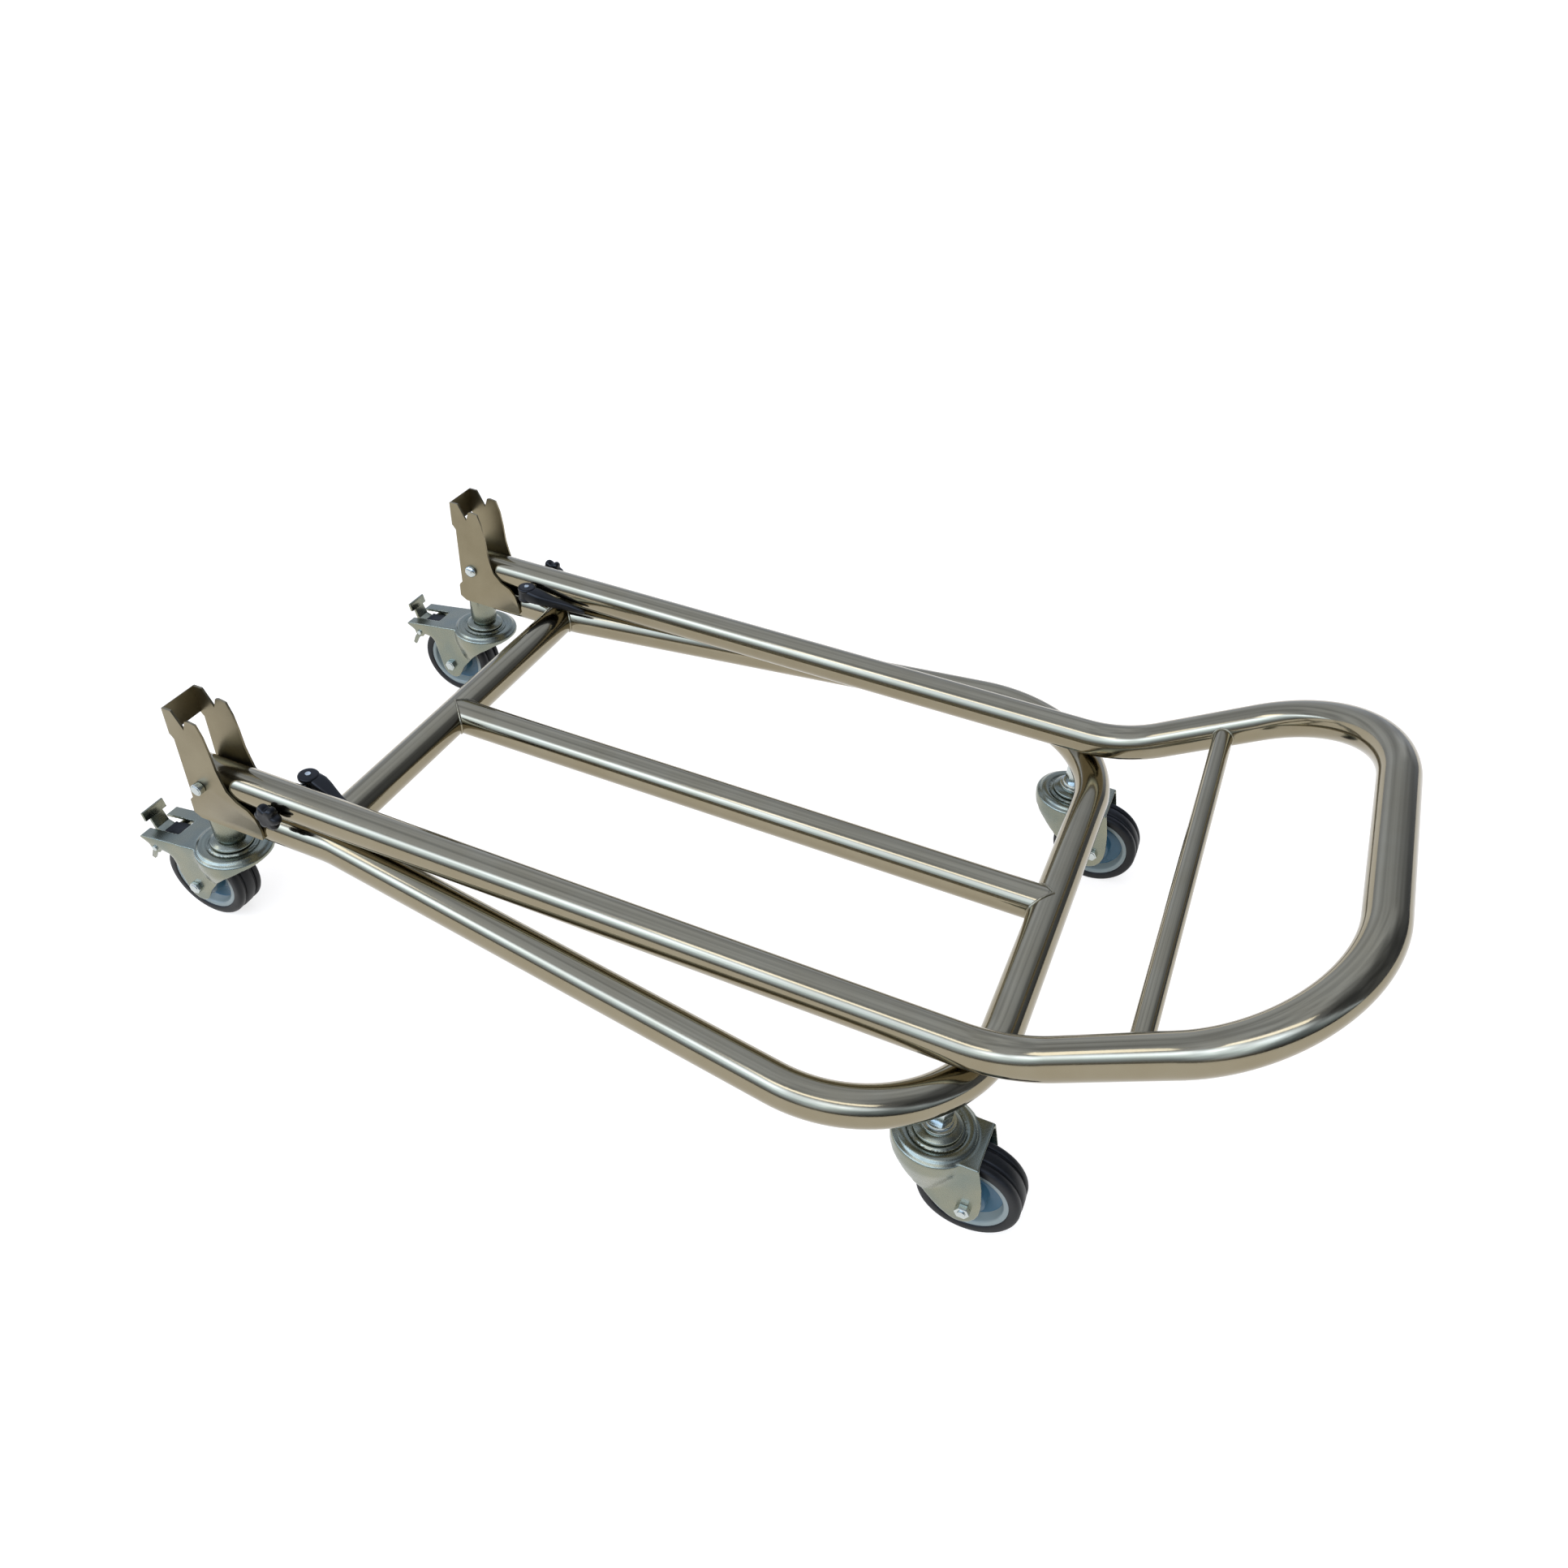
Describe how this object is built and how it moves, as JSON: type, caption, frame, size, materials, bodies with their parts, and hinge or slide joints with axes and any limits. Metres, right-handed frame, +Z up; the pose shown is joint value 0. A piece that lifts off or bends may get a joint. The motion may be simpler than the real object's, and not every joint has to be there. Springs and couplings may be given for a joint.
{
  "type": "tyre trolley",
  "caption": "Low folding tyre trolley: a flared round-tube base on castors and a cranked tubular handle that hinges up in slotted brackets with quick-release clamps.",
  "frame": {"origin": "on the floor, below the centre of the whole trolley's box with the handle folded down", "axes": "+X forwards to the handle's end bar, +Y to the left side, +Z up from the floor"},
  "size_m": [1.0032, 0.553, 0.3101],
  "materials": {
    "polished_tube": "polished plated steel tube",
    "satin_steel": "satin plated sheet",
    "zinc_steel": "bright zinc plating",
    "grey_plastic": "smooth moulded wheel centre",
    "black_plastic": "satin moulded plastic",
    "black_rubber": "matt moulded rubber"
  },
  "bodies": {
    "frame": {"base_tube": "polished_tube", "rear_cross_tube": "polished_tube", "centre_tube": "polished_tube", "bracket_right": "satin_steel", "bracket_left": "satin_steel", "socket_right": "zinc_steel", "socket_left": "zinc_steel", "king_stems_front": "zinc_steel", "king_stems_rear": "zinc_steel", "king_nuts_front": "zinc_steel", "king_washers_front": "zinc_steel", "king_collars_rear": "zinc_steel", "swivel_caps": "zinc_steel"},
    "pivots": {"pivot_bolts": "zinc_steel", "pivot_nuts": "zinc_steel"},
    "handle": {"handle_tube": "polished_tube", "handle_crossbar": "polished_tube", "clamp_bolt_right": "zinc_steel", "clamp_bolt_left": "zinc_steel", "lever_pin_right": "zinc_steel", "lever_pin_left": "zinc_steel"},
    "knob_right": {"clamp_knob_right": "black_plastic"},
    "lever_right": {"clamp_lever_right": "black_plastic"},
    "knob_left": {"clamp_knob_left": "black_plastic"},
    "lever_left": {"clamp_lever_left": "black_plastic"},
    "castor_front_right": {"fork_front_right": "zinc_steel", "axle_front_right": "zinc_steel", "axle_nut_front_right": "zinc_steel", "bush_front_right": "zinc_steel"},
    "wheel_front_right": {"rim_front_right": "grey_plastic", "tyre_front_right": "black_rubber"},
    "castor_front_left": {"fork_front_left": "zinc_steel", "axle_front_left": "zinc_steel", "axle_nut_front_left": "zinc_steel", "bush_front_left": "zinc_steel"},
    "wheel_front_left": {"rim_front_left": "grey_plastic", "tyre_front_left": "black_rubber"},
    "castor_rear_right": {"fork_rear_right": "zinc_steel", "axle_rear_right": "zinc_steel", "axle_nut_rear_right": "zinc_steel", "bush_rear_right": "zinc_steel", "brake_pin_right": "zinc_steel"},
    "wheel_rear_right": {"rim_rear_right": "grey_plastic", "tyre_rear_right": "black_rubber"},
    "brake_right": {"brake_pedal_right": "zinc_steel", "brake_block_right": "black_rubber"},
    "castor_rear_left": {"fork_rear_left": "zinc_steel", "axle_rear_left": "zinc_steel", "axle_nut_rear_left": "zinc_steel", "bush_rear_left": "zinc_steel", "brake_pin_left": "zinc_steel"},
    "wheel_rear_left": {"rim_rear_left": "grey_plastic", "tyre_rear_left": "black_rubber"},
    "brake_left": {"brake_pedal_left": "zinc_steel", "brake_block_left": "black_rubber"}
  },
  "joints": [
    {"name": "handle_fold", "type": "hinge", "parent": "frame", "child": "pivots", "pos_m": [-0.40614, 0, 0.1689], "axis": [0, -1, 0], "range_deg": [0, 90]},
    {"name": "handle_lift", "type": "slide", "parent": "pivots", "child": "handle", "axis": [1, 0, 0], "range_m": [-0.006, 0]},
    {"name": "knob_turn_right", "type": "hinge", "parent": "handle", "child": "knob_right", "pos_m": [-0.33214, -0.1968, 0.1689], "axis": [0, 1, 0], "range_deg": [-180, 180]},
    {"name": "lever_open_right", "type": "hinge", "parent": "handle", "child": "lever_right", "pos_m": [-0.33214, -0.16925, 0.1689], "axis": [0, 0, 1], "range_deg": [0, 100]},
    {"name": "knob_turn_left", "type": "hinge", "parent": "handle", "child": "knob_left", "pos_m": [-0.33214, 0.1968, 0.1689], "axis": [0, 1, 0], "range_deg": [-180, 180]},
    {"name": "lever_open_left", "type": "hinge", "parent": "handle", "child": "lever_left", "pos_m": [-0.33214, 0.16925, 0.1689], "axis": [0, 0, -1], "range_deg": [0, 100]},
    {"name": "swivel_front_right", "type": "hinge", "parent": "frame", "child": "castor_front_right", "pos_m": [0.2474, -0.21275, 0.0898], "axis": [0, 0, 1], "continuous": true},
    {"name": "roll_front_right", "type": "hinge", "parent": "castor_front_right", "child": "wheel_front_right", "pos_m": [0.2819, -0.21275, 0.0405], "axis": [0, 1, 0], "continuous": true},
    {"name": "swivel_front_left", "type": "hinge", "parent": "frame", "child": "castor_front_left", "pos_m": [0.2474, 0.21275, 0.0898], "axis": [0, 0, 1], "continuous": true},
    {"name": "roll_front_left", "type": "hinge", "parent": "castor_front_left", "child": "wheel_front_left", "pos_m": [0.2819, 0.21275, 0.0405], "axis": [0, 1, 0], "continuous": true},
    {"name": "swivel_rear_right", "type": "hinge", "parent": "frame", "child": "castor_rear_right", "pos_m": [-0.41014, -0.1968, 0.0898], "axis": [0, 0, 1], "continuous": true},
    {"name": "roll_rear_right", "type": "hinge", "parent": "castor_rear_right", "child": "wheel_rear_right", "pos_m": [-0.44464, -0.1968, 0.0405], "axis": [0, 1, 0], "continuous": true},
    {"name": "brake_press_right", "type": "hinge", "parent": "castor_rear_right", "child": "brake_right", "pos_m": [-0.48312, -0.1968, 0.07132], "axis": [0, -1, 0], "range_deg": [0, 8]},
    {"name": "swivel_rear_left", "type": "hinge", "parent": "frame", "child": "castor_rear_left", "pos_m": [-0.41014, 0.1968, 0.0898], "axis": [0, 0, 1], "continuous": true},
    {"name": "roll_rear_left", "type": "hinge", "parent": "castor_rear_left", "child": "wheel_rear_left", "pos_m": [-0.44464, 0.1968, 0.0405], "axis": [0, 1, 0], "continuous": true},
    {"name": "brake_press_left", "type": "hinge", "parent": "castor_rear_left", "child": "brake_left", "pos_m": [-0.48312, 0.1968, 0.07132], "axis": [0, -1, 0], "range_deg": [0, 8]}
  ]
}
